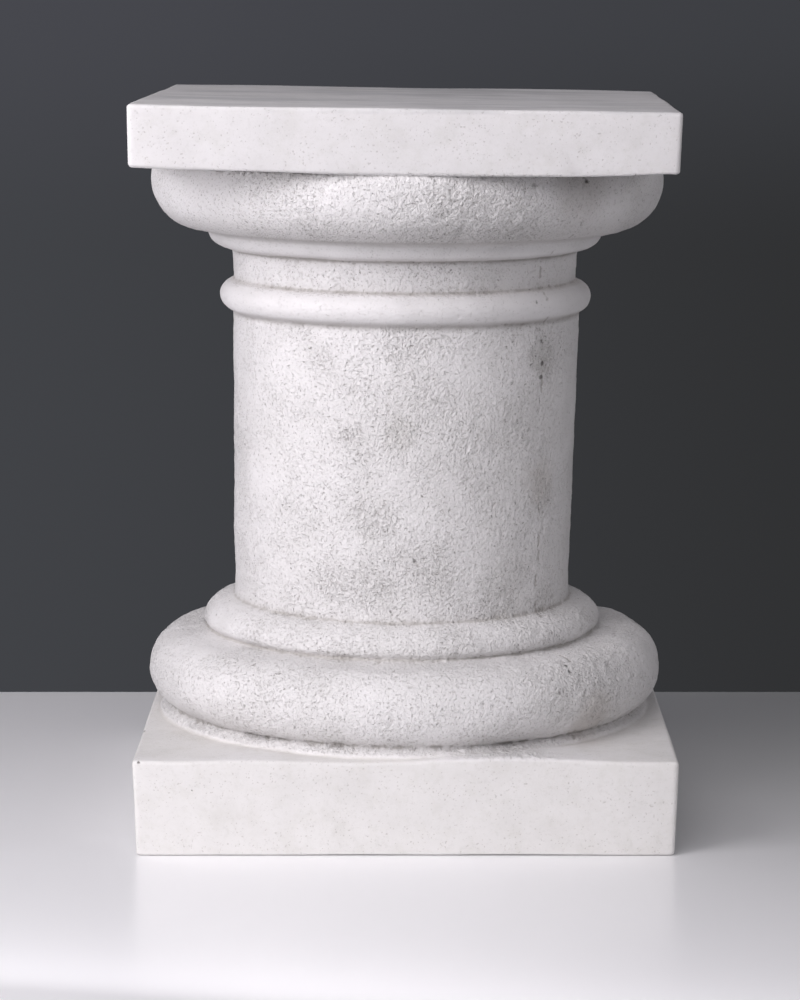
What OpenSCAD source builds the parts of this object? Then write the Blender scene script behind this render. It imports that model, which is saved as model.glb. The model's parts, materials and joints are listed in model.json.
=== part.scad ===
// Doric column pedestal: a short column between a square plinth and a square top
// slab, cast in one piece in white plaster. Millimetres, +Z up, front towards -Y,
// origin at the centre of the underside. The mould was a little out of true, so the
// round part leans to the right and the top slab tilts and turns on it. Radii follow
// from the shaft outwards, so a thicker shaft takes its mouldings and slabs with it.

/* [Overall] */
// Height from the underside to the middle of the top face
total_h = 420; // [380:1:900]
// Radius of the shaft where it leaves the tori
shaft_r = 100; // [60:0.1:180]
// How much wider the shaft is at its head
shaft_spread = 2.7; // [-12:0.1:8]
// Lean of the round part towards the right, in degrees
column_lean = 0.4; // [0:0.1:1]

/* [Plinth] */
// Height of the plinth
plinth_h = 54.5; // [30:0.5:90]
// How far the lower torus stands out past the middle of the plinth's sides
torus_overhang = 0.7; // [-40:0.1:4]

/* [Foot bead] */
// Radius of the half-round bead
bead_r = 5; // [3:0.5:7]
// Distance from the torus's widest line in to the bead's centre line
bead_inset = 11.7; // [9:0.1:14]
// Height of the sunk line between the bead's crown and the torus
bead_groove_h = 1.6; // [0.5:0.1:4]

/* [Tori] */
// How far the upper torus stands out from the shaft
upper_torus_proud = 19; // [8:0.5:40]
// Rise of the upper torus below its widest line
upper_torus_low_h = 6; // [4:0.5:9]
// Rise of the upper torus above its widest line
upper_torus_high_h = 14; // [9:0.5:20]
// Width of the flat ledge between the two tori
ledge_w = 11.2; // [0:0.1:30]
// How far the lower torus bulges out past its ledge
lower_torus_reach = 23.5; // [16:0.5:36]
// Rise of the lower torus below its widest line
lower_torus_low_h = 19; // [14:0.5:26]
// Rise of the lower torus above its widest line
lower_torus_high_h = 23; // [16:0.5:30]
// How far the lower torus tucks back in at its foot
lower_torus_tuck = 14.5; // [12:0.5:16]

/* [Astragal and neck] */
// Radius of the astragal's round section
astragal_r = 9.5; // [6:0.1:12]
// How far the astragal stands out from the shaft
astragal_proud = 7.5; // [4:0.1:9]
// How far the neck is set back from the shaft's head
neck_setback = 1.5; // [0:0.1:4]
// How much wider the neck is at its head
neck_spread = 1; // [0:0.1:6]
// Height of the neck between the astragal and the annulet
neck_h = 19; // [10:0.5:50]

/* [Annulet and echinus] */
// How far the annulet stands out from the neck
annulet_proud = 14.4; // [8:0.1:20]
// Height of the annulet
annulet_h = 9.5; // [6:0.1:14]
// Height of the sunk line between the annulet and the echinus
echinus_groove_h = 2; // [0.5:0.5:6]
// How far the echinus's underside starts outside the annulet
echinus_step = 4.4; // [0:0.1:10]
// How far the echinus bulges out past its underside
echinus_reach = 30.2; // [20:0.1:50]
// Rise of the echinus from its underside to its widest line
echinus_low_h = 28.7; // [20:0.1:40]
// Rise of the echinus from its widest line to the top slab
echinus_high_h = 13.5; // [8:0.1:20]
// Height of the ellipse that the upper part of the echinus follows
echinus_shoulder_h = 30; // [24:0.5:60]

/* [Top slab] */
// Thickness of the top slab
abacus_h = 34; // [20:1:60]
// How far the echinus stands out past the middle of the slab's sides
echinus_overhang = -0.3; // [-40:0.1:4]
// Tilt of the top slab, down towards the right, in degrees
abacus_tilt = 0.8; // [0:0.1:1.5]
// Turn of the top slab on the column, clockwise from above, in degrees
abacus_turn = 1.1; // [0:0.1:3]

/* [Worn edges] */
// Radius of the upright corners of both slabs
corner_r = 3; // [1:0.5:8]
// Radius of the long edges of both slabs
arris_r = 2; // [1:0.5:5]

/* [Hidden] */

PLASTER = [0.88, 0.87, 0.86];
ROOT = 6;           // how far the round part runs into the slab above and below it
SHAFT_SEAT = 1.5;   // how far the upper torus's centre line lies inside the shaft
TURNED_STEPS = 180; // facets round the column where the shape is shown as a mesh
CORNER_STEPS = 48;
ARC_STEPS = 24;

// Heights of the widest lines and seats, from the ground up
lower_torus_z = plinth_h + bead_r + bead_groove_h + lower_torus_low_h;
ledge_z = lower_torus_z + lower_torus_high_h;
upper_torus_z = ledge_z + upper_torus_low_h;
shaft_foot_z = upper_torus_z + upper_torus_high_h;
abacus_foot_z = total_h - abacus_h;
echinus_z = abacus_foot_z - echinus_high_h;
annulet_head_z = echinus_z - echinus_low_h - echinus_groove_h;
annulet_foot_z = annulet_head_z - annulet_h;
neck_foot_z = annulet_foot_z - neck_h;
astragal_z = neck_foot_z - astragal_r;

// Radii, from the shaft outwards
upper_torus_r = shaft_r + upper_torus_proud;
upper_torus_reach = upper_torus_proud + SHAFT_SEAT;
ledge_r = upper_torus_r + ledge_w;
lower_torus_r = ledge_r + lower_torus_reach;
bead_ring_r = lower_torus_r - bead_inset;
shaft_head_r = shaft_r + shaft_spread;
neck_foot_r = shaft_head_r - neck_setback;
neck_head_r = neck_foot_r + neck_spread;
annulet_r = neck_head_r + annulet_proud;
echinus_foot_r = annulet_r + echinus_step;
echinus_r = echinus_foot_r + echinus_reach;
echinus_head_angle = asin(echinus_high_h / echinus_shoulder_h);

// The slabs line up with the mouldings that stand on and under them
plinth_side = 2 * (lower_torus_r - torus_overhang);
abacus_side = 2 * (echinus_r - echinus_overhang);

// Points of an elliptical arc in the profile plane, as [radius, height]
function arc(centre, reach, rise, from, to, steps = ARC_STEPS) = [
    for (i = [0:steps])
        let (t = from + (to - from) * i / steps)
            [centre[0] + reach * cos(t), centre[1] + rise * sin(t)]
];

// The bead and the two tori, from the plinth up to the shaft
function base_profile() = concat(
    [[bead_ring_r + bead_r, plinth_h - ROOT]],
    arc([bead_ring_r, plinth_h], bead_r, bead_r, 0, 140, 14),
    arc([lower_torus_r - lower_torus_tuck, lower_torus_z],
        lower_torus_tuck, lower_torus_low_h, -100, 0),
    arc([ledge_r, lower_torus_z], lower_torus_reach, lower_torus_high_h, 3, 90),
    arc([upper_torus_r - upper_torus_reach, upper_torus_z],
        upper_torus_reach, upper_torus_low_h, -45, 0, 8),
    arc([upper_torus_r - upper_torus_reach, upper_torus_z],
        upper_torus_reach, upper_torus_high_h, 5, 85, 16)
);

// The shaft, the astragal round its head and the neck above it
function shaft_profile() = concat(
    [[shaft_r, shaft_foot_z], [shaft_head_r, astragal_z - astragal_r]],
    arc([shaft_head_r + astragal_proud - astragal_r, astragal_z],
        astragal_r, astragal_r, -75, 75),
    [[neck_foot_r, neck_foot_z], [neck_head_r, annulet_foot_z]]
);

// The annulet and the echinus, up into the top slab
function capital_profile() = concat(
    arc([annulet_r - annulet_h, annulet_head_z], annulet_h, annulet_h, -90, 0, 12),
    arc([echinus_foot_r, echinus_z], echinus_reach, echinus_low_h, -90, 0),
    arc([echinus_foot_r, echinus_z],
        echinus_reach, echinus_shoulder_h, 4, echinus_head_angle, 8),
    [[echinus_foot_r, abacus_foot_z + ROOT]]
);

// A centred rectangle with round corners
module round_cornered(width, depth, r) {
    square([width - 2 * r, depth], center = true);
    square([width, depth - 2 * r], center = true);
    for (x = [-1, 1], y = [-1, 1])
        translate([x * (width / 2 - r), y * (depth / 2 - r)])
            circle(r = r, $fn = CORNER_STEPS);
}

// A square slab, centred on the origin, with every edge worn round
module worn_slab(side, height) {
    reach = 2 * side;
    intersection() {
        linear_extrude(height, center = true) round_cornered(side, side, corner_r);
        rotate([90, 0, 0])
            linear_extrude(reach, center = true) round_cornered(side, height, arris_r);
        rotate([90, 0, 90])
            linear_extrude(reach, center = true) round_cornered(side, height, arris_r);
    }
}

module plinth() {
    translate([0, 0, plinth_h / 2]) worn_slab(plinth_side, plinth_h);
}

// Everything from the foot bead to the echinus, turned about one axis
module round_part() {
    rotate_extrude($fn = TURNED_STEPS)
        polygon(concat([[0, plinth_h - ROOT]], base_profile(), shaft_profile(),
                       capital_profile(), [[0, abacus_foot_z + ROOT]]));
}

// The slab's middle stays on the leaning axis of the column
module abacus() {
    middle_h = total_h - abacus_h / 2;
    translate([(middle_h - lower_torus_z) * sin(column_lean), 0, middle_h])
        rotate([0, abacus_tilt, 0])
            rotate([0, 0, -abacus_turn])
                worn_slab(abacus_side, abacus_h);
}

module column() {
    color(PLASTER) {
        plinth();
        translate([0, 0, lower_torus_z])
            rotate([0, column_lean, 0])
                translate([0, 0, -lower_torus_z]) round_part();
        abacus();
    }
}

column();
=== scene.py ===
import json
import math

import bpy
from mathutils import Matrix, Vector


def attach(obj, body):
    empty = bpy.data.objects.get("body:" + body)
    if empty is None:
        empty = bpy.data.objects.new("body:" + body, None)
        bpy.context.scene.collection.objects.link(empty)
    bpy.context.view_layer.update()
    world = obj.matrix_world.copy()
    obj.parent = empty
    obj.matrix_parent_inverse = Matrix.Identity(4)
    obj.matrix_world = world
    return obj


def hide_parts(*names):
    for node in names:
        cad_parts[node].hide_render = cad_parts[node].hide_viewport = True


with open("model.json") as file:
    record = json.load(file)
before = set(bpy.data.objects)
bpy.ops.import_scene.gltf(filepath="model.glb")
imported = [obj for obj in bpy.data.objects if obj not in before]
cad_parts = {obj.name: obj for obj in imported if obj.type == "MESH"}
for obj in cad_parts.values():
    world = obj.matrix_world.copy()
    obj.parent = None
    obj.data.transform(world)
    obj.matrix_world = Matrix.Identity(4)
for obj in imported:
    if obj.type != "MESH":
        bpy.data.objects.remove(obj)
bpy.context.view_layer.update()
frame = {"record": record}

# Camera. It stands two metres in front of the column, a hand above the top slab, and
# looks a little down on it through a long lens.
CAMERA_DISTANCE = 1.991
CAMERA_HEIGHT = 0.500
CAMERA_SIDE = -0.0030
CAMERA_PITCH = 9.15
LENS = 120.7

bpy.ops.object.camera_add(
    location=(CAMERA_SIDE, -CAMERA_DISTANCE, CAMERA_HEIGHT),
    rotation=(math.radians(90 - CAMERA_PITCH), 0, 0),
)
camera = bpy.context.object
camera.data.lens = LENS
bpy.context.scene.camera = camera


# Plinth. A square slab of cast plaster at the foot, thicker than a hand is wide. The
# mould leaned in a little towards the ground, and its edges have worn round and wavy.
MM = 0.001
SAME_PLACE = 0.01 * MM
PLINTH_SIDE = 0.3078
PLINTH_HEIGHT = 0.0545
PLINTH_FOOT_SHARE = 0.989
PLINTH_EDGE = 0.152
SLAB_CUTS = 28
SLAB_SHARP = 60
CORNER_ROUND = 0.0025
CORNER_STEPS = 4
ARRIS_ROUND = 0.0016
ARRIS_STEPS = 3


def start_editing(choose):
    """Opens the active mesh with only the vertices chosen by place selected."""
    bpy.ops.object.mode_set(mode="OBJECT")
    piece = bpy.context.object
    for part in (*piece.data.polygons, *piece.data.edges):
        part.select = False
    for vertex in piece.data.vertices:
        vertex.select = choose(vertex.co)
    bpy.ops.object.mode_set(mode="EDIT")
    bpy.ops.mesh.select_mode(type="VERT")


def pull(place, move, reach):
    """Draws the skin round one place along with it, less and less out to the reach."""
    grip = 0.5 * MM
    bpy.ops.object.mode_set(mode="OBJECT")
    vertices = bpy.context.object.data.vertices
    nearest = min(vertices, key=lambda vertex: (vertex.co - Vector(place)).length).co.copy()
    start_editing(lambda co: (co - nearest).length < grip)
    bpy.ops.transform.translate(
        value=move,
        use_proportional_edit=True,
        proportional_edit_falloff="SMOOTH",
        proportional_size=reach,
    )


def slab(name, side, height, foot_share):
    """A square slab standing on the ground, narrower at its foot and with rounded edges."""
    bpy.ops.object.select_all(action="DESELECT")
    bpy.ops.mesh.primitive_cube_add(size=1, location=(0, 0, height / 2), scale=(side, side, height))
    piece = bpy.context.object
    piece.name = name
    bpy.ops.object.transform_apply(location=True, rotation=True, scale=True)
    start_editing(lambda co: co.z < height / 2)
    bpy.ops.transform.resize(value=(foot_share, foot_share, 1))
    bpy.ops.mesh.select_all(action="SELECT")
    bpy.ops.mesh.subdivide(number_cuts=SLAB_CUTS)
    start_editing(lambda co: min(abs(co.x), abs(co.y)) > side / 2 * foot_share - SAME_PLACE)
    bpy.ops.mesh.select_mode(type="EDGE")
    bpy.ops.mesh.bevel(offset=CORNER_ROUND, segments=CORNER_STEPS, affect="EDGES")
    bpy.ops.mesh.select_all(action="DESELECT")
    bpy.ops.mesh.edges_select_sharp(sharpness=math.radians(SLAB_SHARP))
    bpy.ops.mesh.bevel(offset=ARRIS_ROUND, segments=ARRIS_STEPS, affect="EDGES")
    bpy.ops.object.mode_set(mode="OBJECT")
    return piece


plinth = slab("plinth", PLINTH_SIDE, PLINTH_HEIGHT, PLINTH_FOOT_SHARE)

# Where its upper arrises aren't straight: place, move and reach
PLINTH_PULLS = (
    ((-0.086, -PLINTH_EDGE, PLINTH_HEIGHT), (0, 0, 1.3 * MM), 0.055),
    ((0.060, -PLINTH_EDGE, PLINTH_HEIGHT), (0, 0, 3.0 * MM), 0.070),
    ((-PLINTH_EDGE, -PLINTH_EDGE, PLINTH_HEIGHT), (0, 0, 1.0 * MM), 0.030),
    ((PLINTH_EDGE, 0.030, PLINTH_HEIGHT), (0, 0, 1.2 * MM), 0.080),
    ((-PLINTH_EDGE, 0.050, PLINTH_HEIGHT), (0.6 * MM, 0, 0.9 * MM), 0.070),
    ((0.040, PLINTH_EDGE, PLINTH_HEIGHT), (0, 0.5 * MM, 1.4 * MM), 0.090),
)
for place, move, reach in PLINTH_PULLS:
    pull(place, move, reach)
bpy.ops.object.mode_set(mode="OBJECT")


# Round part. The bead, the two tori, the shaft with its astragal, the neck, the annulet
# and the echinus were turned as one clay model and cast with the slabs. It leans a little
# to the right, and its mouldings don't quite share one axis.
TURNED_STEPS = 240
ROOT = 0.006
BEAD_RADIUS = 0.1420
BEAD_ROUND = 0.0050
LOWER_TORUS_HEIGHT = 0.0801
LOWER_TORUS_RADIUS = 0.1537
LOWER_TORUS_REACH = 0.0235
LOWER_TORUS_TUCK = 0.0145
LOWER_TORUS_LOW_RISE = 0.019
LEDGE_RADIUS = 0.1302
LEDGE_HEIGHT = 0.1031
UPPER_TORUS_HEIGHT = 0.1091
UPPER_TORUS_RADIUS = 0.1190
UPPER_TORUS_LOW_RISE = 0.006
UPPER_TORUS_HIGH_RISE = 0.014
SHAFT_SEAT = 1.5 * MM
SHAFT_OUTLINE = (
    (0.1004, 0.1231),
    (0.1000, 0.1390),
    (0.1011, 0.1670),
    (0.1015, 0.2160),
    (0.1022, 0.2640),
    (0.1027, 0.2943),
)
ASTRAGAL_RADIUS = 0.1007
ASTRAGAL_REACH = 0.0095
ASTRAGAL_RISE = 0.0090
ASTRAGAL_HEIGHT = 0.3040
NECK_OUTLINE = ((0.1012, 0.3133), (0.1022, 0.3323))
ANNULET_RADIUS = 0.1166
ANNULET_HEIGHT = 0.3418
ANNULET_REACH = 0.0125
ANNULET_RISE = 0.0095
ECHINUS_FOOT_RADIUS = 0.1226
ECHINUS_REACH = 0.0286
ECHINUS_HEIGHT = 0.3725
ECHINUS_SHOULDER = 0.030
ECHINUS_GROOVE = 2 * MM
ABACUS_FOOT = 0.3860


def arc(centre, reach, rise, start, stop, steps):
    """Points of a moulding's elliptical section, as radius and height."""
    turns = [math.radians(start + (stop - start) * step / steps) for step in range(steps + 1)]
    return [(centre[0] + reach * math.cos(t), centre[1] + rise * math.sin(t)) for t in turns]


def turned(name, outline):
    """A solid turned from its outline, which starts and ends on the axis."""
    bpy.ops.object.select_all(action="DESELECT")
    bpy.ops.mesh.primitive_plane_add(size=MM, location=(outline[0][0], 0, outline[0][1]))
    piece = bpy.context.object
    piece.name = name
    bpy.ops.object.transform_apply(location=True, rotation=True, scale=True)
    bpy.ops.object.mode_set(mode="EDIT")
    bpy.ops.mesh.select_all(action="SELECT")
    bpy.ops.mesh.merge(type="CENTER")
    for here, there in zip(outline, outline[1:]):
        step = (there[0] - here[0], 0, there[1] - here[1])
        bpy.ops.mesh.extrude_region_move(TRANSFORM_OT_translate={"value": step})
    bpy.ops.mesh.select_all(action="SELECT")
    bpy.ops.mesh.spin(steps=TURNED_STEPS, angle=math.tau, center=(0, 0, 0), axis=(0, 0, 1))
    bpy.ops.mesh.select_all(action="SELECT")
    bpy.ops.mesh.remove_doubles(threshold=SAME_PLACE)
    bpy.ops.mesh.normals_make_consistent(inside=False)
    bpy.ops.object.mode_set(mode="OBJECT")
    return piece


lower_torus_foot = (LOWER_TORUS_RADIUS - LOWER_TORUS_TUCK, LOWER_TORUS_HEIGHT)
lower_torus_head = (LEDGE_RADIUS, LOWER_TORUS_HEIGHT)
lower_torus_rise = LEDGE_HEIGHT - LOWER_TORUS_HEIGHT
upper_torus_reach = UPPER_TORUS_RADIUS - SHAFT_OUTLINE[0][0] + SHAFT_SEAT
upper_torus_centre = (UPPER_TORUS_RADIUS - upper_torus_reach, UPPER_TORUS_HEIGHT)
annulet_centre = (ANNULET_RADIUS - ANNULET_REACH, ANNULET_HEIGHT)
echinus_centre = (ECHINUS_FOOT_RADIUS, ECHINUS_HEIGHT)
echinus_rise = ECHINUS_HEIGHT - ANNULET_HEIGHT - ECHINUS_GROOVE
outline = [
    (0, PLINTH_HEIGHT - ROOT),
    (BEAD_RADIUS + BEAD_ROUND, PLINTH_HEIGHT - ROOT),
    *arc((BEAD_RADIUS, PLINTH_HEIGHT), BEAD_ROUND, BEAD_ROUND, 0, 140, 14),
    *arc(lower_torus_foot, LOWER_TORUS_TUCK, LOWER_TORUS_LOW_RISE, -100, 0, 24),
    *arc(lower_torus_head, LOWER_TORUS_REACH, lower_torus_rise, 3, 90, 24),
    *arc(upper_torus_centre, upper_torus_reach, UPPER_TORUS_LOW_RISE, -45, 0, 8),
    *arc(upper_torus_centre, upper_torus_reach, UPPER_TORUS_HIGH_RISE, 5, 85, 16),
    *SHAFT_OUTLINE,
    *arc((ASTRAGAL_RADIUS, ASTRAGAL_HEIGHT), ASTRAGAL_REACH, ASTRAGAL_RISE, -75, 75, 24),
    *NECK_OUTLINE,
    *arc(annulet_centre, ANNULET_REACH, ANNULET_RISE, -90, 0, 12),
    *arc(echinus_centre, ECHINUS_REACH, echinus_rise, -90, 0, 24),
    *arc(echinus_centre, ECHINUS_REACH, ECHINUS_SHOULDER, 4, 27, 8),
    (ECHINUS_FOOT_RADIUS, ABACUS_FOOT + ROOT),
    (0, ABACUS_FOOT + ROOT),
]
round_part = turned("round_part", outline)

# How far each stretch of mouldings sits off the column's leaning axis: foot, head, shift
MOULDING_SHIFTS = (
    (PLINTH_HEIGHT - ROOT, LEDGE_HEIGHT, -0.5 * MM),
    (LEDGE_HEIGHT, 0.1500, -2.2 * MM),
    (0.1500, 0.2000, -2.0 * MM),
    (0.2000, 0.2500, -1.5 * MM),
    (0.2500, 0.2943, -1.1 * MM),
    (0.2943, 0.3131, -1.6 * MM),
    (0.3131, ANNULET_HEIGHT, -2.0 * MM),
    (ANNULET_HEIGHT, ABACUS_FOOT + ROOT, -0.7 * MM),
)
for foot, head, shift in MOULDING_SHIFTS:
    start_editing(lambda co: foot < co.z - SAME_PLACE <= head)
    bpy.ops.transform.translate(value=(shift, 0, 0))

# Where the lower torus and the annulet stand fuller at one side: place, move and reach
ROUND_PULLS = (
    ((0.1360, 0.0000, 0.1015), (0.4 * MM, 0, 3.2 * MM), 0.040),
    ((0.1293, 0.0420, 0.1015), (0.3 * MM, 0, 2.6 * MM), 0.040),
    ((0.1293, -0.0420, 0.1015), (0.3 * MM, 0, 2.2 * MM), 0.040),
    ((-0.1120, 0.0000, 0.3325), (0, 0, 1.5 * MM), 0.014),
)
for place, move, reach in ROUND_PULLS:
    pull(place, move, reach)
bpy.ops.object.mode_set(mode="OBJECT")


# Abacus. The square slab on top, of the same plaster. It was set a little tilted and
# turned on the clay model, and its underside bellies down between the corners.
ABACUS_SIDE = 0.3040
ABACUS_HEIGHT = 0.034
ABACUS_FOOT_SHARE = 0.995
ABACUS_TURN = 1.1

abacus = slab("abacus", ABACUS_SIDE, ABACUS_HEIGHT, ABACUS_FOOT_SHARE)
mounts = {mount["name"]: mount for mount in frame["record"]["mounts"]}
top_place = Vector(mounts["top"]["pos_m"])
top_axis = Vector(mounts["top"]["axis"])
abacus_tilt = math.atan2(top_axis.x, top_axis.z)
abacus.matrix_world = (
    Matrix.Translation(top_place)
    @ Matrix.Rotation(abacus_tilt, 4, "Y")
    @ Matrix.Rotation(-math.radians(ABACUS_TURN), 4, "Z")
    @ Matrix.Translation((0, 0, -ABACUS_HEIGHT))
)
abacus_centre = abacus.matrix_world @ Vector((0, 0, ABACUS_HEIGHT / 2))
column_lean = math.asin(abacus_centre.x / (abacus_centre.z - LOWER_TORUS_HEIGHT))
lean_foot = Matrix.Translation((0, 0, LOWER_TORUS_HEIGHT))
round_part.matrix_world = lean_foot @ Matrix.Rotation(column_lean, 4, "Y") @ lean_foot.inverted()


# Casting. The three shapes are one pour of plaster, so they grow together into one
# closed skin.
SKIN_GRAIN = 1.0 * MM

bpy.ops.object.select_all(action="DESELECT")
for piece in (plinth, round_part, abacus):
    piece.select_set(True)
bpy.context.view_layer.objects.active = plinth
bpy.ops.object.transform_apply(location=True, rotation=True, scale=True)
bpy.ops.object.join()
casting = bpy.context.object
casting.name = "plaster_casting"
skin = casting.modifiers.new("one skin", "REMESH")
skin.mode = "VOXEL"
skin.voxel_size = SKIN_GRAIN
bpy.ops.object.modifier_apply(modifier=skin.name)
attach(casting, "root")
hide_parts("column")


# Weathering. The clay model was stippled and picked to look like old stone, all but the
# two slabs, and the plaster took its every dent from the mould.
class Value:
    """What a node gives out. A formula on values, written in Python, adds Math nodes."""

    def __init__(self, node, output=0):
        self.node = node
        self.socket = node.outputs[output] if node.outputs else None
        self.tree = node.id_data

    @classmethod
    def of(cls, tree, kind, settings, inputs, output=0):
        """Adds any other node, from its type, its settings and what goes into its sockets."""
        node = tree.nodes.new(kind)
        for name, setting in settings.items():
            setattr(node, name, setting)
        for name, value in inputs.items():
            if isinstance(value, Value):
                tree.links.new(value.socket, node.inputs[name])
            else:
                node.inputs[name].default_value = value
        return cls(node, output)

    def output(self, name):
        """Another output of the same node."""
        return Value(self.node, name)

    def math(self, operation, *values):
        """A Math node on the values given."""
        return Value.of(self.tree, "ShaderNodeMath", {"operation": operation}, dict(enumerate(values)))

    def vector(self, operation, *values, output=0):
        """A Vector Math node on the places given."""
        settings = {"operation": operation}
        return Value.of(self.tree, "ShaderNodeVectorMath", settings, dict(enumerate(values)), output)

    def __add__(self, other):
        return self.math("ADD", self, other)

    def __sub__(self, other):
        return self.math("SUBTRACT", self, other)

    def __rsub__(self, other):
        return self.math("SUBTRACT", other, self)

    def __mul__(self, other):
        return self.math("MULTIPLY", self, other)

    def __truediv__(self, other):
        return self.math("DIVIDE", self, other)

    def __pow__(self, other):
        return self.math("POWER", self, other)

    def __abs__(self):
        return self.math("ABSOLUTE", self)

    __radd__ = __add__
    __rmul__ = __mul__


def between(value, start, end):
    """Rises softly from 0 to 1 as the value goes from start to end."""
    settings = {"interpolation_type": "SMOOTHSTEP"}
    inputs = {"Value": value, "From Min": start, "From Max": end}
    return Value.of(value.tree, "ShaderNodeMapRange", settings, inputs)


def parts(vector):
    """The x, y and z of a place."""
    split = Value.of(vector.tree, "ShaderNodeSeparateXYZ", {}, {0: vector})
    return split.output("X"), split.output("Y"), split.output("Z")


def scaled(tree, direction, length):
    """The direction, made so many times as long."""
    inputs = {0: direction, "Scale": length}
    return Value.of(tree, "ShaderNodeVectorMath", {"operation": "SCALE"}, inputs)


def noise(place, size, detail=0.0, roughness=0.5):
    """Soft random light and dark, about 0.5, with lumps of one size."""
    inputs = {"Vector": place, "Scale": 1 / size, "Detail": detail, "Roughness": roughness}
    return Value.of(place.tree, "ShaderNodeTexNoise", {}, inputs)


def uneven(place, width, height, detail=1.0, roughness=0.5):
    """Random ups and downs about zero, of one width."""
    return (noise(place, width, detail, roughness) - 0.5) * height


def hollows(place, width, floor, fade, detail=1.0):
    """Scattered round marks, 1 in the middle of each: more of them where the floor is higher."""
    return between(noise(place, width, detail), floor, floor - fade)


def strayed(place, size, amount):
    """The place pushed about at random, so that a pattern on it is never regular."""
    push = noise(place, size, 1.0).output("Color")
    return push.vector("MULTIPLY_ADD", push, (amount,) * 3, place)


def raked(place):
    """The place as the modelling tool went over it, in strokes that rise to the right."""
    twist = -4.0
    stretch = (1, 1, 0.85)
    inputs = {"Vector": place, "Angle": parts(place)[2] * twist}
    twisted = Value.of(place.tree, "ShaderNodeVectorRotate", {"rotation_type": "Z_AXIS"}, inputs)
    return twisted.vector("MULTIPLY", twisted, stretch)


def greatest(values):
    """The greatest of several values at each place."""
    most = values[0]
    for value in values[1:]:
        most = most.math("MAXIMUM", most, value)
    return most


def spot(ragged, stray, centre, radius, core):
    """One round mark, 1 in its core, on a place already strayed by up to so much."""
    middle = Vector(centre) + Vector((stray / 2,) * 3)
    away = ragged.vector("DISTANCE", ragged, middle, output="Value")
    return between(away, radius, radius * core)


# Where the stippling is thick, and where it has filled: place, radius and strength
PATCHES = (
    ((-0.003, -0.102, 0.234), 0.015, 0.6),
    ((-0.031, -0.097, 0.231), 0.011, 0.5),
    ((-0.017, -0.100, 0.184), 0.020, 0.5),
    ((0.014, -0.099, 0.155), 0.024, 0.5),
    ((-0.020, -0.098, 0.145), 0.016, 0.4),
    ((-0.003, -0.102, 0.285), 0.022, 0.4),
    ((-0.048, -0.091, 0.275), 0.015, 0.4),
    ((0.079, -0.064, 0.275), 0.017, 1.0),
    ((0.080, -0.060, 0.195), 0.018, 0.5),
    ((0.055, -0.083, 0.130), 0.018, 0.8),
    ((0.082, -0.055, 0.128), 0.018, 0.8),
    ((0.100, -0.110, 0.085), 0.030, 0.4),
    ((-0.043, -0.091, 0.147), 0.018, 0.4),
    ((0.052, -0.140, 0.361), 0.042, 0.5),
    ((0.019, -0.145, 0.356), 0.036, 0.3),
    ((-0.066, -0.079, 0.267), 0.026, -0.25),
    ((0.025, -0.098, 0.201), 0.016, -0.3),
    ((-0.082, -0.062, 0.207), 0.030, -0.3),
    ((-0.116, -0.094, 0.366), 0.050, -0.4),
    ((-0.110, -0.055, 0.110), 0.040, -0.4),
    ((0.098, -0.030, 0.240), 0.040, -0.4),
)
PATCH_CORE = 0.2
STIPPLED_FOOT = PLINTH_HEIGHT + 1.0 * MM
STIPPLED_HEAD = ABACUS_FOOT - 0.5 * MM
STIPPLE_MEAN = 0.45
STIPPLE_SPREAD = 1.2
STIPPLE_DRIFT = 0.035
RUBBED_AWAY = 0.6
WAVE_WIDTH = 0.11
WAVE_HEIGHT = 1.8 * MM
LUMP_WIDTH = 0.026
LUMP_HEIGHT = 1.3 * MM
PEEL_WIDTH = 0.0058
THIN_PEEL = 0.35 * MM
THICK_PEEL = 1.15 * MM
DENT_WIDTH = 0.0048
DENT_DEPTH = 0.45 * MM
DENT_FLOOR = 0.27
DENT_FADE = 0.06
MORE_DENTS = 0.06
RIDGE_WIDTH = 0.0048
RIDGE_HEIGHT = 2.2 * MM
BELLY_DROP = 2.4 * MM
SMOOTHING_ROUNDS = 8
CREASE_ROUNDS = 16


def on_mouldings(z):
    """1 on the turned mouldings and 0 on the two slabs."""
    fade = 2 * MM
    over_plinth = between(z, STIPPLED_FOOT, STIPPLED_FOOT + fade)
    return over_plinth * between(z, STIPPLED_HEAD, STIPPLED_HEAD - fade)


def rubbed(z):
    """The astragal and the annulet, which hands have rubbed smooth."""
    astragal = between(abs(z - (ASTRAGAL_HEIGHT - 1 * MM)), 10 * MM, 7 * MM)
    annulet = between(abs(z - (ANNULET_HEIGHT - 4 * MM)), 7 * MM, 4 * MM)
    return greatest((astragal, annulet))


weathering = bpy.data.node_groups.new("weathering", "GeometryNodeTree")
for direction in ("INPUT", "OUTPUT"):
    weathering.interface.new_socket("Geometry", in_out=direction, socket_type="NodeSocketGeometry")
raw = Value.of(weathering, "NodeGroupInput", {}, {})
place = Value.of(weathering, "GeometryNodeInputPosition", {}, {})
normal = Value.of(weathering, "GeometryNodeInputNormal", {}, {})
x, y, z = parts(place)
turned_band = on_mouldings(z)

# How thick the stippling is, from 0 to 1
amount = STIPPLE_MEAN + uneven(place, STIPPLE_DRIFT, STIPPLE_SPREAD, 2.0) - rubbed(z) * RUBBED_AWAY
for centre, radius, strength in PATCHES:
    amount = amount + spot(place, 0, centre, radius, PATCH_CORE) * strength
thick = between(amount, 0.0, 1.0) * turned_band

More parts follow.
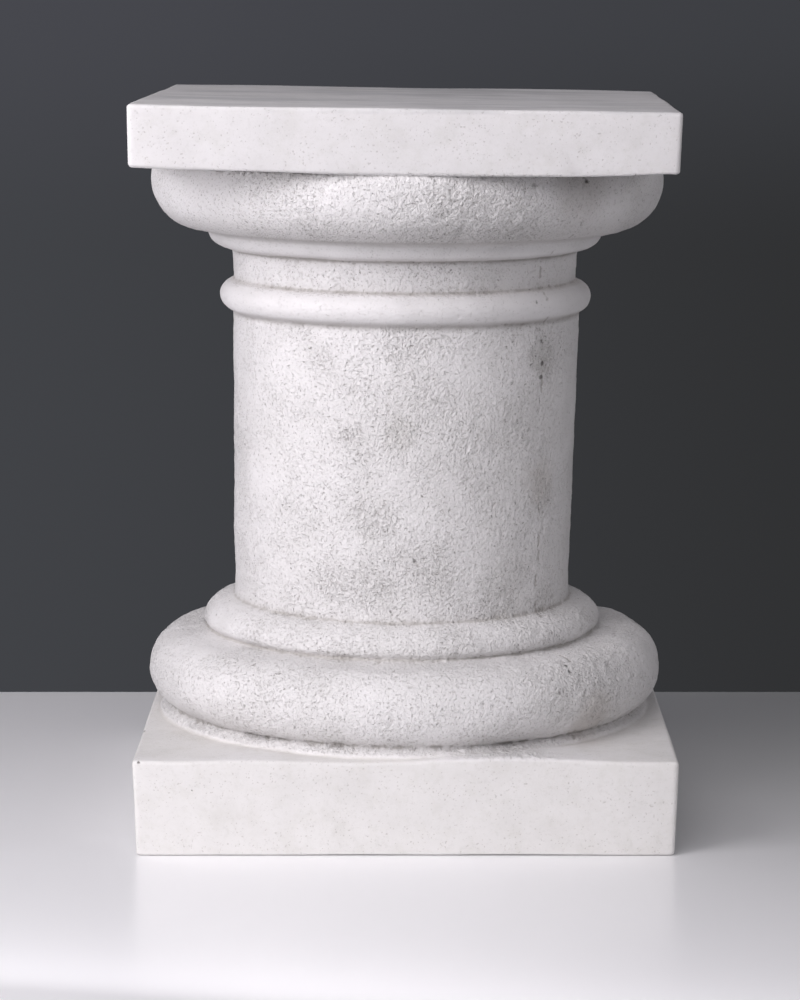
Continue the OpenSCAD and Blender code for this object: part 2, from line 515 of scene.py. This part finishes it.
# How far the skin stands out, with a broken ridge along the foot bead
waves = uneven(place, WAVE_WIDTH, WAVE_HEIGHT)
lumps = uneven(place, LUMP_WIDTH, LUMP_HEIGHT)
peel = uneven(strayed(raked(place), 0.010, 0.006), PEEL_WIDTH, THIN_PEEL + thick * THICK_PEEL)
dent_floor = DENT_FLOOR + thick * MORE_DENTS
dents = hollows(strayed(raked(place), 0.008, 0.005), DENT_WIDTH, dent_floor, DENT_FADE)
crown = between(z, PLINTH_HEIGHT + 9 * MM, PLINTH_HEIGHT + 6 * MM)
ridge = uneven(place, RIDGE_WIDTH, RIDGE_HEIGHT) * crown
relief = waves + (lumps + peel - dents * DENT_DEPTH + ridge) * turned_band
outward = scaled(weathering, normal, relief)

# The mouldings' edges worn soft, most of all at the foot bead
bead_band = between(z, PLINTH_HEIGHT + 12 * MM, PLINTH_HEIGHT + 9 * MM)
soft = {"Value": place, "Iterations": SMOOTHING_ROUNDS, "Weight": turned_band * (0.1 + bead_band * 0.9)}
softened = Value.of(weathering, "GeometryNodeBlurAttribute", {"data_type": "FLOAT_VECTOR"}, soft)

# The belly under the abacus, which fades out towards its corners and its upper arrises
in_corner = (abs(x * y) / (ABACUS_SIDE / 2) ** 2) ** 3
low = between(z, ABACUS_FOOT + ABACUS_HEIGHT * 0.8, ABACUS_FOOT + 3 * MM)
hanging = low * (1 - in_corner) * z.math("GREATER_THAN", z, STIPPLED_HEAD - 1 * MM)
drop = Value.of(weathering, "ShaderNodeCombineXYZ", {}, {"Z": hanging * -BELLY_DROP})

offset = outward.vector("ADD", outward, softened.vector("SUBTRACT", softened, place))
offset = offset.vector("ADD", offset, drop)
worn = Value.of(weathering, "GeometryNodeSetPosition", {}, {"Geometry": raw, "Offset": offset})

# How hollow the worn skin is, for the painted shade in hollows and creases, from 0 to 1
worn_place = Value.of(weathering, "GeometryNodeInputPosition", {}, {})
worn_normal = Value.of(weathering, "GeometryNodeInputNormal", {}, {})
evened = {"Value": worn_place, "Iterations": CREASE_ROUNDS}
blurred = Value.of(weathering, "GeometryNodeBlurAttribute", {"data_type": "FLOAT_VECTOR"}, evened)
inward = blurred.vector("SUBTRACT", blurred, worn_place)
hollow = inward.vector("DOT_PRODUCT", inward, worn_normal, output="Value")
for name, value in (("hollow", between(hollow, 0.02 * MM, 0.75 * MM)), ("stipple", thick)):
    settings = {"data_type": "FLOAT", "domain": "POINT"}
    inputs = {"Geometry": worn, "Name": name, "Value": value}
    worn = Value.of(weathering, "GeometryNodeStoreNamedAttribute", settings, inputs)
Value.of(weathering, "NodeGroupOutput", {}, {"Geometry": worn})
wear = casting.modifiers.new("weathering", "NODES")
wear.node_group = weathering
bpy.ops.object.modifier_apply(modifier=wear.name)

TRIANGLES = 196000
thinning = casting.modifiers.new("thinning", "DECIMATE")
thinning.ratio = TRIANGLES / (2 * len(casting.data.polygons))
thinning.use_collapse_triangulate = True
bpy.ops.object.modifier_apply(modifier=thinning.name)
bpy.ops.object.shade_smooth()


# Plaster. White casting plaster with a dull, uneven gloss. Its pits are darkened by dirt and by painted
# shade, its grooves, creases and the echinus's underside by painted shade, and the top face is greyer
# in patches.
plaster = bpy.data.materials.new("plaster")
plaster.use_nodes = True
tree = plaster.node_tree
shader = tree.nodes["Principled BSDF"]
place = Value.of(tree, "ShaderNodeTexCoord", {}, {}, "Object")
hollow = Value.of(tree, "ShaderNodeAttribute", {"attribute_name": "hollow"}, {}, "Fac")
stipple = Value.of(tree, "ShaderNodeAttribute", {"attribute_name": "stipple"}, {}, "Fac")
x, y, z = parts(place)
turned_band = on_mouldings(z)
slabs = 1 - turned_band
unrubbed = 1 - rubbed(z) * 0.45


def off_line(place, start, end):
    """How far the place is from a straight stroke between two points."""
    run = Vector(end) - Vector(start)
    across = place.vector("SUBTRACT", place, start)
    along = across.vector("DOT_PRODUCT", across, run / run.length_squared, output="Value")
    along = along.math("MINIMUM", along.math("MAXIMUM", along, 0.0), 1.0)
    nearest = scaled(place.tree, run, along)
    return across.vector("DISTANCE", across, nearest, output="Value")


# Chips in the arrises and open blowholes: place and radius
HOLE_STRAY = 0.0016
HOLES = (
    ((0.1330, -0.1520, 0.3860), 1.9 * MM),
    ((-0.1535, -0.0740, 0.0545), 2.2 * MM),
    ((-0.1500, -0.1535, 0.0545), 1.0 * MM),
    ((-0.1200, -0.1540, 0.0382), 0.8 * MM),
    ((0.0757, -0.0798, 0.3070), 1.6 * MM),
    ((0.0704, -0.1324, 0.3770), 2.6 * MM),
    ((0.1004, -0.1115, 0.3780), 2.6 * MM),
    ((0.0813, -0.0827, 0.1185), 1.5 * MM),
    ((0.0925, -0.1064, 0.1005), 1.5 * MM),
    ((0.0940, -0.1100, 0.0970), 1.7 * MM),
    ((0.0784, -0.0657, 0.2620), 1.8 * MM),
    ((0.0790, -0.0650, 0.2700), 2.0 * MM),
    ((0.0783, -0.0658, 0.2830), 1.7 * MM),
    ((0.0770, -0.0670, 0.2900), 1.5 * MM),
    ((0.0053, -0.1010, 0.1600), 1.7 * MM),
)

# Hairline cracks: both ends
SCRATCHES = (
    ((0.0450, -0.0907, 0.1880), (0.0622, -0.0799, 0.1960)),
    ((-0.0915, -0.0446, 0.2460), (-0.0849, -0.0562, 0.2310)),
)
ragged = strayed(place, 0.0020, HOLE_STRAY)
hole = greatest([spot(ragged, HOLE_STRAY, centre, radius, 0.4) for centre, radius in HOLES])
wavering = strayed(place, 0.0035, 0.0025)
scratch = greatest([between(off_line(wavering, *ends), 1.0 * MM, 0.3 * MM) for ends in SCRATCHES])

# The seam that the mould's two halves left, broken, down one upright plane
SEAM_ACROSS = (0.910, 0.413)
SEAM_DISTANCE = 0.0445
wander = uneven(place, 0.010, 9 * MM, 3.0, 0.6)
off_seam = abs(x * SEAM_ACROSS[0] + y * SEAM_ACROSS[1] - SEAM_DISTANCE + wander)
seam_left = between(noise(place, 0.009, 1.0), 0.54, 0.60)
seam = between(off_seam, 1.3 * MM, 0.2 * MM) * seam_left * turned_band

# Roughness too fine for the mesh: a peel on the mouldings, more of it on the foot bead and
# where the plinth's top is scuffed at the left, and an even grain
SCUFF = (-0.121, -0.083, PLINTH_HEIGHT)
scuffed = between(place.vector("DISTANCE", place, SCUFF, output="Value"), 0.026, 0.006)
bead_band = between(z, PLINTH_HEIGHT + 8 * MM, PLINTH_HEIGHT + 6 * MM) * turned_band
rough = stipple * (1.4 * MM) + turned_band * unrubbed * (0.70 * MM)
rough = rough + bead_band * (1.0 * MM) + scuffed * (0.8 * MM)
scattered = strayed(place, 0.0040, 0.0030)
peel = uneven(scattered, 0.0021, rough, 3.0, 0.65)
grain = uneven(place, 0.0012, 0.12 * MM, 2.0)

# Short curved nicks and two sizes of pits on the mouldings, and pinholes on the slabs
NICK_WIDTH = 0.0031
NICK_GATE = 0.610
PIT_WIDTH = 0.0013
PIT_FLOOR = 0.332
LARGE_PIT_WIDTH = 0.0020
LARGE_PIT_FLOOR = 0.268
PINHOLE_WIDTH = 0.0011
PINHOLE_FLOOR = 0.245
crack = abs(noise(strayed(raked(place), 0.0028, 0.0030), NICK_WIDTH, 1.0) - 0.5)
nick_gate = NICK_GATE - stipple * 0.10
nicked = between(noise(place, 0.0019, 1.0), nick_gate, nick_gate + 0.07)
nick = between(crack, 0.105, 0.03) * nicked * turned_band * unrubbed
pitting = strayed(place, 0.0020, 0.0018)
pit_floor = PIT_FLOOR + stipple * 0.085
pit = hollows(pitting, PIT_WIDTH, pit_floor, 0.06, 1.5) * turned_band * unrubbed
large_floor = LARGE_PIT_FLOOR + stipple * 0.065
large_pit = hollows(scattered, LARGE_PIT_WIDTH, large_floor, 0.04, 1.5) * turned_band * unrubbed
pinhole = hollows(place, PINHOLE_WIDTH, PINHOLE_FLOOR, 0.04, 0.0) * slabs

# How deep each mark goes
MARK_DEPTHS = (
    (nick, 0.38 * MM),
    (pit, 0.25 * MM),
    (large_pit, 0.50 * MM),
    (pinhole, 0.15 * MM),
    (seam, 0.50 * MM),
    (hole, 0.80 * MM),
    (scratch, 0.35 * MM),
)
height = peel + grain
for mark, depth in MARK_DEPTHS:
    height = height - mark * depth
bump = Value.of(tree, "ShaderNodeBump", {}, {"Strength": 1.0, "Distance": 1.0, "Height": height})
tree.links.new(bump.socket, shader.inputs["Normal"])


def blend(share, below, above, kind="MIX"):
    """A Mix node, whose sockets 6 and 7 take its two colours and whose output 2 gives one."""
    settings = {"data_type": "RGBA", "blend_type": kind}
    return Value.of(share.tree, "ShaderNodeMix", settings, {0: share, 6: below, 7: above}, 2)


# Painted shade in the creases where the annulet and the astragal meet their neighbours, and under each
# of them: height, reach and tint
PAINTED_SHADE_LINES = (
    (ANNULET_HEIGHT + 1.5 * MM, 3.0 * MM, (0.80, 0.79, 0.78)),
    (ANNULET_HEIGHT - 9.5 * MM, 3.2 * MM, (0.79, 0.78, 0.77)),
    (ASTRAGAL_HEIGHT + 9.5 * MM, 1.7 * MM, (0.88, 0.87, 0.86)),
    (ASTRAGAL_HEIGHT - 9.0 * MM, 3.6 * MM, (0.72, 0.71, 0.70)),
)

# Grey stains on the mouldings: place, radius and tint
STAIN_STRAY = 0.012
STAINS = (
    ((0.0795, -0.0640, 0.2000), 0.020, (0.93, 0.915, 0.90)),
    ((0.0790, -0.0645, 0.2750), 0.015, (0.87, 0.87, 0.86)),
    ((0.1000, -0.1150, 0.3720), 0.028, (0.84, 0.83, 0.82)),
    ((-0.0030, -0.1020, 0.2340), 0.014, (0.96, 0.96, 0.95)),
    ((0.1060, -0.1050, 0.0700), 0.022, (0.88, 0.86, 0.84)),
)

CLEAN = (0.900, 0.884, 0.885)
DULLNESS = 0.62
CLOUD_SIZE = 0.030
MOTTLE_SIZE = 0.014
SPECK_SIZE = 0.0030
HOLLOW_SHADE_SIZE = 0.020
TOP_PATCH_SIZE = 0.045
level = z + x * math.sin(column_lean)
# Painted shade on the underside of the echinus, just above the annulet
shade_under_echinus = between(level, ANNULET_HEIGHT + 20 * MM, ANNULET_HEIGHT + 3 * MM)
shade_under_echinus = shade_under_echinus * between(level, ANNULET_HEIGHT - 1 * MM, ANNULET_HEIGHT + 2 * MM)
clouds = between(noise(place, CLOUD_SIZE, 4.0, 0.6), 0.35, 0.75)
mottle = between(noise(place, MOTTLE_SIZE, 4.0, 0.7), 0.46, 0.66) * slabs
specks = between(noise(place, SPECK_SIZE, 3.0, 0.7), 0.53, 0.66) * slabs
# Painted shade in the hollows and creases, in patches, and more of it in the deepest hollows of the
# mouldings
hollow_shade = hollow * between(noise(place, HOLLOW_SHADE_SIZE, 2.0), 0.10, 0.60)
deep_hollow_shade = between(hollow, 0.55, 1.0) * turned_band
low_shaft = between(z, 0.32, 0.22) * turned_band
plinth_band = between(z, PLINTH_HEIGHT + 2 * MM, PLINTH_HEIGHT)
top_face = between(z, ABACUS_FOOT + ABACUS_HEIGHT - 4 * MM, ABACUS_FOOT + ABACUS_HEIGHT - 2 * MM)
# Patches where the top face is greyer
top_patches = noise(place.vector("MULTIPLY", place, (0.45, 1, 1)), TOP_PATCH_SIZE, 4.0, 0.65)
stained = strayed(place, 0.015, STAIN_STRAY)

# Every tint multiplies the plaster's own white as far as its share, a number from 0 to 1
tints = [
    (plinth_band, (0.960, 0.960, 0.940)),
    (slabs, (0.935, 0.935, 0.935)),
    (low_shaft, (0.925, 0.925, 0.920)),
    (mottle, (0.965, 0.965, 0.955)),
    (clouds, (0.940, 0.940, 0.935)),
    (hollow_shade, (0.830, 0.820, 0.805)),
    (deep_hollow_shade, (0.800, 0.790, 0.775)),
    # Painted shade of the stippling's pits: the stippled mouldings a little darker
    (stipple, (0.985, 0.985, 0.980)),
    (shade_under_echinus, (0.820, 0.815, 0.810)),
    (rubbed(z), (0.955, 0.955, 0.955)),
]
for line_height, reach, tint in PAINTED_SHADE_LINES:
    tints.append((between(abs(level - line_height), reach, 0.3 * MM), tint))
for centre, radius, tint in STAINS:
    tints.append((spot(stained, STAIN_STRAY, centre, radius, 0.3), tint))
tints += [
    (nick, (0.925, 0.920, 0.915)),
    # The pits' darker colour is partly dirt and partly painted shade in their hollows
    (pit, (0.780, 0.770, 0.760)),
    (large_pit, (0.600, 0.585, 0.575)),
    (seam, (0.700, 0.680, 0.660)),
    (pinhole, (0.840, 0.830, 0.820)),
    (specks, (0.955, 0.955, 0.950)),
    (hole, (0.420, 0.410, 0.400)),
    (scratch, (0.820, 0.810, 0.800)),
    (top_face * between(top_patches, 0.42, 0.64), (0.820, 0.825, 0.830)),
]
colour = (*CLEAN, 1)
for share, tint in tints:
    colour = blend(share, colour, (*tint, 1), "MULTIPLY")
tree.links.new(colour.socket, shader.inputs["Base Color"])
roughness = DULLNESS + pit * 0.2 - clouds * 0.08
tree.links.new(roughness.socket, shader.inputs["Roughness"])
shader.inputs["Specular IOR Level"].default_value = 0.35
casting.data.materials.append(plaster)


# Floor and backdrop. A white table top with painted shade at the back right, whose far edge is a hand
# behind the column, in front of a dark grey wall that is a little lighter towards the left.
FLOOR_BACK = 0.278
FLOOR_WIDTH = 8.0
FLOOR_DEPTH = 0.74
FLOOR_WHITE = (0.93, 0.93, 0.94, 1)
FLOOR_SHADE_GREY = (0.55, 0.555, 0.55, 1)
WALL_LOW_LEFT = (0.0545, 0.0570, 0.0640, 1)
WALL_LOW_RIGHT = (0.0295, 0.0303, 0.0320, 1)
WALL_HIGH_LEFT = (0.0640, 0.0655, 0.0770, 1)
WALL_HIGH_RIGHT = (0.0465, 0.0485, 0.0550, 1)

bpy.ops.mesh.primitive_plane_add(size=1, location=(0, FLOOR_BACK - FLOOR_DEPTH / 2, 0))
floor = bpy.context.object
floor.name = "floor"
floor.scale = (FLOOR_WIDTH, FLOOR_DEPTH, 1)
bpy.ops.object.transform_apply(location=True, rotation=True, scale=True)
floor_paint = bpy.data.materials.new("floor white")
floor_paint.use_nodes = True
floor_tree = floor_paint.node_tree
floor_shader = floor_tree.nodes["Principled BSDF"]
floor_place = Value.of(floor_tree, "ShaderNodeTexCoord", {}, {}, "Object")
floor_x, floor_y = parts(floor_place)[:2]

# Painted shade: it gets greyer towards the back at the right, away from the light
painted_floor_shade = between(floor_x, 0.0, 0.32) * between(floor_y, -0.36, 0.05)
floor_colour = blend(painted_floor_shade, FLOOR_WHITE, FLOOR_SHADE_GREY)
floor_tree.links.new(floor_colour.socket, floor_shader.inputs["Base Color"])
floor_shader.inputs["Roughness"].default_value = 0.28
floor_shader.inputs["IOR"].default_value = 1.45
floor.data.materials.append(floor_paint)

world = bpy.data.worlds.new("dark wall")
bpy.context.scene.world = world
world.use_nodes = True
background = world.node_tree.nodes["Background"]
direction = Value.of(world.node_tree, "ShaderNodeTexCoord", {}, {}, "Generated")
rightward = between(parts(direction)[0], -0.16, 0.16)
upward = between(parts(direction)[2], -0.09, -0.01)
low_wall = blend(rightward, WALL_LOW_LEFT, WALL_LOW_RIGHT)
high_wall = blend(rightward, WALL_HIGH_LEFT, WALL_HIGH_RIGHT)
wall = blend(upward, low_wall, high_wall)
world.node_tree.links.new(wall.socket, background.inputs["Color"])


# Lights. A soft light close by at the left, a larger one over the camera, and weak ones
# that open the shadows at the right, behind and low in front. The camera sees none of them.
LIGHT_TARGET = Vector((0, 0, 0.25))
LIGHT_COLOUR = (1.0, 0.965, 1.0)
LOW_TARGET = Vector((0, -0.15, 0.02))


def softbox(name, azimuth, elevation, distance, width, height, power):
    """A rectangular light, so many degrees round to the right of the camera and so many up."""
    level = math.cos(math.radians(elevation))
    across = math.sin(math.radians(azimuth)) * level
    back = -math.cos(math.radians(azimuth)) * level
    towards = Vector((across, back, math.sin(math.radians(elevation))))
    bpy.ops.object.light_add(type="AREA", location=LIGHT_TARGET + towards * distance)
    light = bpy.context.object
    light.name = name
    light.data.shape = "RECTANGLE"
    light.data.size = width
    light.data.size_y = height
    light.data.energy = power
    light.data.color = LIGHT_COLOUR
    light.rotation_euler = towards.to_track_quat("Z", "Y").to_euler()
    light.visible_camera = False
    return light


# Azimuth, elevation, distance, width, height and power
softbox("key light", -50, 20, 1.15, 0.7, 0.7, 8.0)
softbox("front light", -18, 38, 1.60, 1.2, 1.2, 12.6)
softbox("fill light", 70, 18, 1.60, 0.7, 0.7, 3.5)
back_light = softbox("back light", 152, 6, 1.60, 0.8, 0.8, 1.3)

# The shiny table top doesn't mirror it
back_light.visible_glossy = False
low_light = softbox("low light", -7, -25, 0.47, 0.6, 0.05, 0.11)
low_aim = (LOW_TARGET - low_light.location).to_track_quat("-Z", "Y")
low_light.rotation_euler = low_aim.to_euler()

bpy.context.scene.view_settings.view_transform = "Standard"
